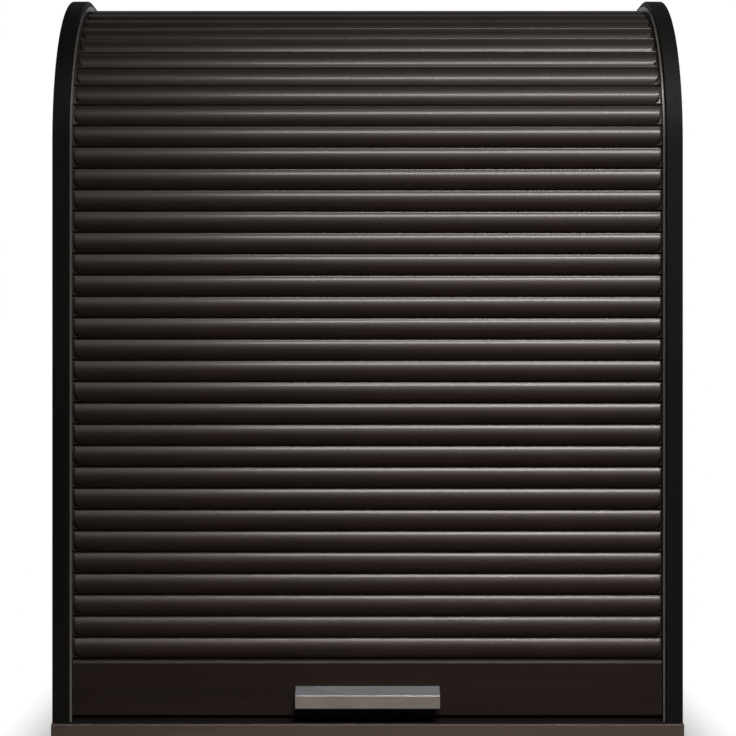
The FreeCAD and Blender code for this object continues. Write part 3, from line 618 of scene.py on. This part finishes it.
class CABINET_OT_side_panels(bpy.types.Operator):
    """Finish the sides"""

    bl_idname = "cabinet.side_panels"
    bl_label = "Side panels"
    bl_options = {"REGISTER", "UNDO"}

    def execute(self, context):
        values = settings().board
        edge = (tuple(values.edge), lambda finish: finish.aside("X"))
        figured = laminate(
            "side_laminate", tuple(values.side), "z", roughness=0.62, shine=0.12, contrast=0.45, edge=edge
        )
        dress(figured, "left_side_panel", "right_side_panel")
        return {"FINISHED"}


class CABINET_OT_boards(bpy.types.Operator):
    """Finish the base, the shelf, the ceiling and the thin panels"""

    bl_idname = "cabinet.boards"
    bl_label = "Boards"
    bl_options = {"REGISTER", "UNDO"}

    def execute(self, context):
        values = settings().board
        edge = (tuple(values.base), lambda finish: finish.below("Y", BASE_FRONT + BAND_DEPTH))
        base = laminate("base_laminate", tuple(values.edge), "x", roughness=0.75, shine=0.12, edge=edge)
        inner = laminate("inner_laminate", tuple(values.inner), "x", roughness=0.5)
        back = laminate("back_laminate", tuple(values.back), "z", roughness=0.55)
        roof = laminate("roof_laminate", tuple(values.side), "x", roughness=0.62, shine=0.12)
        dress(base, "base_board")
        dress(inner, "ceiling_board", "shelf")
        dress(back, "inner_back_panel", "rear_panel")
        dress(roof, "roof_panel")
        return {"FINISHED"}


class CABINET_OT_guides(bpy.types.Operator):
    """Finish the guides and their end plugs"""

    bl_idname = "cabinet.guides"
    bl_label = "Guides"
    bl_options = {"REGISTER", "UNDO"}

    def execute(self, context):
        plastic = guide_plastic(tuple(settings().board.guide))
        dress(plastic, "left_guide", "right_guide", "guide_end_plugs")
        return {"FINISHED"}


class CABINET_OT_slats(bpy.types.Operator):
    """Build the slats of the shutter, link on link along the track"""

    bl_idname = "cabinet.slats"
    bl_label = "Slats"
    bl_options = {"REGISTER", "UNDO"}

    def execute(self, context):
        values = settings().slat
        track = Track(values)
        foil = slat_foil(values)
        tongue_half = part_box(SLATS[0])[1].x
        face_half = -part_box("left_guide")[1].x - values.end_gap
        template = slat_mesh(values, tongue_half, face_half)
        for index, node in enumerate(SLATS):
            y, z = track.point(index * values.pitch)
            next_y, next_z = track.point((index + 1) * values.pitch)
            lean = math.atan2(next_y - y, next_z - z)
            mesh = template.copy()
            mesh.name = f"{node}_shaped"
            piece = new_piece(mesh.name, mesh, foil, node)
            piece.matrix_world = Matrix.Translation((0, y, z)) @ Matrix.Rotation(-lean, 4, "X")
        bpy.data.meshes.remove(template)
        return {"FINISHED"}


class CABINET_OT_closing_rail(bpy.types.Operator):
    """Finish the closing rail and its seal"""

    bl_idname = "cabinet.closing_rail"
    bl_label = "Closing rail"
    bl_options = {"REGISTER", "UNDO"}

    def execute(self, context):
        values = settings().board
        rail = laminate("rail_laminate", tuple(values.rail), "x", roughness=0.52, shine=0.2)
        dress(rail, "closing_rail")
        dress(seal_rubber(tuple(values.rubber)), "rail_seal")
        return {"FINISHED"}


class CABINET_OT_handle(bpy.types.Operator):
    """Finish the handle"""

    bl_idname = "cabinet.handle"
    bl_label = "Handle"
    bl_options = {"REGISTER", "UNDO"}

    def execute(self, context):
        values = settings().board
        # the handle is painted paler below this ridge, a painted sheen
        ridge = BASE_TOP + RIDGE_HEIGHT
        dress(brushed_aluminium(tuple(values.metal), tuple(values.painted_lower_sheen), ridge), "handle")
        return {"FINISHED"}


class CABINET_OT_fittings(bpy.types.Operator):
    """Finish the screws, cams, pins, nails and dowels"""

    bl_idname = "cabinet.fittings"
    bl_label = "Fittings"
    bl_options = {"REGISTER", "UNDO"}

    def execute(self, context):
        values = settings().board
        steel = zinc_plate(tuple(values.zinc))
        dress(steel, "handle_screws", "base_screws", "cam_discs", "cam_bolts", "shelf_pins", "panel_nails")
        dress(beech_wood(tuple(values.beech)), "base_dowels")
        return {"FINISHED"}


def area_lamp(name, place, target, size, power, spread):
    """A soft rectangular lamp with a grid, aimed at a point."""
    data = bpy.data.lights.new(name, "AREA")
    data.shape = "RECTANGLE"
    data.size, data.size_y = size
    data.energy = power
    data.spread = spread
    lamp = add_object(name, data)
    lamp.location = place
    lamp.visible_camera = False
    aim = Vector(target) - Vector(place)
    lamp.rotation_euler = aim.to_track_quat("-Z", "Y").to_euler()


def studio_lamps(values):
    """The lamps ahead of the door, round the cabinet, above its roof and in its compartments."""
    area_lamp("key", KEY_PLACE, KEY_AIM, KEY_SIZE, values.key_power, values.key_spread)
    area_lamp("foot", FOOT_PLACE, FOOT_AIM, FOOT_SIZE, values.foot_power, values.foot_spread)
    middle = (0, 0, TOP_Z / 2)
    for name, place in FILL_PLACES.items():
        area_lamp(name, place, middle, FILL_SIZE, values.fill_power, ALL_ROUND)
    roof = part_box("roof_panel")[1]
    above = (0, roof.y - ROOF_INSET, roof.z + ROOF_RISE)
    under = (0, roof.y - ROOF_INSET, 0)
    area_lamp("roof_fill", above, under, ROOF_SIZE, values.roof_power, values.foot_spread)
    for name, board in INNER_BOARDS.items():
        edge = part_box(board)[0]
        place = Vector((0, edge.y, edge.z)) + INNER_OFFSET
        area_lamp(name, place, place + INNER_AIM, INNER_SIZE, values.inner_power, ALL_ROUND)


def studio_world(values):
    """White to the camera, and otherwise dim ahead of the object and paler behind it.

    Reflections also see a white backdrop, low behind the object.
    """
    world = bpy.data.worlds.new("studio")
    bpy.context.scene.world = world
    wiring = Wiring(world)
    background = wiring.nodes["Background"].inputs
    background["Color"].default_value = (*WHITE, 1)
    direction = wiring.add("ShaderNodeTexCoord").outputs["Generated"]
    toward = wiring.add("ShaderNodeSeparateXYZ", Vector=direction).outputs
    ray = wiring.add("ShaderNodeLightPath").outputs
    studio = wiring.between(
        toward["Y"], values.dim_world, values.rear_world, DIM_UNTIL, PALE_FROM, ease="SMOOTHSTEP"
    )
    behind = wiring.math("GREATER_THAN", toward["Y"], 0.0)
    low = wiring.math("LESS_THAN", toward["Z"], BACKDROP_RISE)
    backdrop = wiring.math("MULTIPLY", wiring.math("MULTIPLY", behind, low), wiring.mirrored(ray))
    white = wiring.math("MAXIMUM", ray["Is Camera Ray"], backdrop)
    wiring.give(background["Strength"], wiring.math("MAXIMUM", white, studio))


def pale_floor():
    """A round floor that is white to the camera, but for the soft shadow close to the object.

    Reflections see it white behind the front of the sides, and only a small warm share of it ahead of them.
    """
    work = bmesh.new()
    bmesh.ops.create_circle(work, cap_ends=True, segments=FLOOR_SEGMENTS, radius=FLOOR_RADIUS)
    mesh = mesh_from(work, "floor")
    floor = add_object("floor", mesh)
    finish = Finish("pale_floor", FLOOR_TINT, FLOOR_ROUGHNESS, shine=0.0)
    ray = finish.add("ShaderNodeLightPath").outputs
    shadow = finish.add("ShaderNodeAmbientOcclusion", Distance=SHADOW_REACH).outputs["Color"]
    ahead = finish.below("Y", FRONT_Y)
    ground = finish.mix(ahead, WHITE, AHEAD_TINT)
    pale = finish.mix(ray["Is Camera Ray"], ground, shadow)
    glow = finish.add("ShaderNodeEmission", Color=pale)
    part_seen = finish.between(ahead, 1.0, AHEAD_SHARE, start=0, end=1)
    reflected = finish.math("MULTIPLY", finish.mirrored(ray), part_seen)
    glowing = finish.math("MAXIMUM", ray["Is Camera Ray"], reflected)
    blend = finish.nodes.new("ShaderNodeMixShader")
    sources = (glowing, finish.shader.outputs["BSDF"], glow.outputs["Emission"])
    for socket, source in zip(blend.inputs, sources):
        finish.links.new(source, socket)
    finish.links.new(blend.outputs["Shader"], finish.nodes["Material Output"].inputs["Surface"])
    mesh.materials.append(finish.material)


def photo_camera(values):
    """The camera, straight on, with the small shift of the photograph's framing."""
    data = bpy.data.cameras.new("camera")
    data.sensor_width = SENSOR_WIDTH
    data.lens = values.lens
    data.shift_x, data.shift_y = CAMERA_SHIFT
    camera = add_object("camera", data)
    camera.location = (values.camera_x, FRONT_Y - values.camera_gap, values.camera_height)
    camera.rotation_euler = (math.radians(90), 0, 0)
    bpy.context.scene.camera = camera


class CABINET_OT_stage(bpy.types.Operator):
    """Set up the studio, the floor, the lamps and the camera"""

    bl_idname = "cabinet.stage"
    bl_label = "Stage"
    bl_options = {"REGISTER", "UNDO"}

    def execute(self, context):
        values = settings().stage
        context.scene.view_settings.view_transform = "Standard"
        studio_world(values)
        pale_floor()
        studio_lamps(values)
        photo_camera(values)
        return {"FINISHED"}


STEPS = (
    CABINET_OT_side_panels,
    CABINET_OT_boards,
    CABINET_OT_guides,
    CABINET_OT_slats,
    CABINET_OT_closing_rail,
    CABINET_OT_handle,
    CABINET_OT_fittings,
    CABINET_OT_stage,
)


class CABINET_PT_builder(bpy.types.Panel):
    """Lists the steps that build the cabinet's looks"""

    bl_idname = "CABINET_PT_builder"
    bl_label = "Tambour Cabinet"
    bl_space_type = "VIEW_3D"
    bl_region_type = "UI"
    bl_category = "Cabinet"

    def draw(self, context):
        column = self.layout.column(align=True)
        for step in STEPS:
            column.operator(step.bl_idname)


CLASSES = (
    CabinetSlatSettings,
    CabinetBoardSettings,
    CabinetStageSettings,
    CabinetSettings,
    *STEPS,
    CABINET_PT_builder,
)


def register():
    """Makes the settings, the steps and the panel known to Blender."""
    for item in CLASSES:
        bpy.utils.register_class(item)
    bpy.types.Scene.tambour_cabinet = bpy.props.PointerProperty(type=CabinetSettings)


def unregister():
    """Takes the settings, the steps and the panel out of Blender again."""
    del bpy.types.Scene.tambour_cabinet
    for item in reversed(CLASSES):
        bpy.utils.unregister_class(item)


def main():
    """Builds the cabinet's looks step by step."""
    register()
    bpy.ops.cabinet.side_panels()
    bpy.ops.cabinet.boards()
    bpy.ops.cabinet.guides()
    bpy.ops.cabinet.slats()
    bpy.ops.cabinet.closing_rail()
    bpy.ops.cabinet.handle()
    bpy.ops.cabinet.fittings()
    bpy.ops.cabinet.stage()


if __name__ == "__main__":
    main()
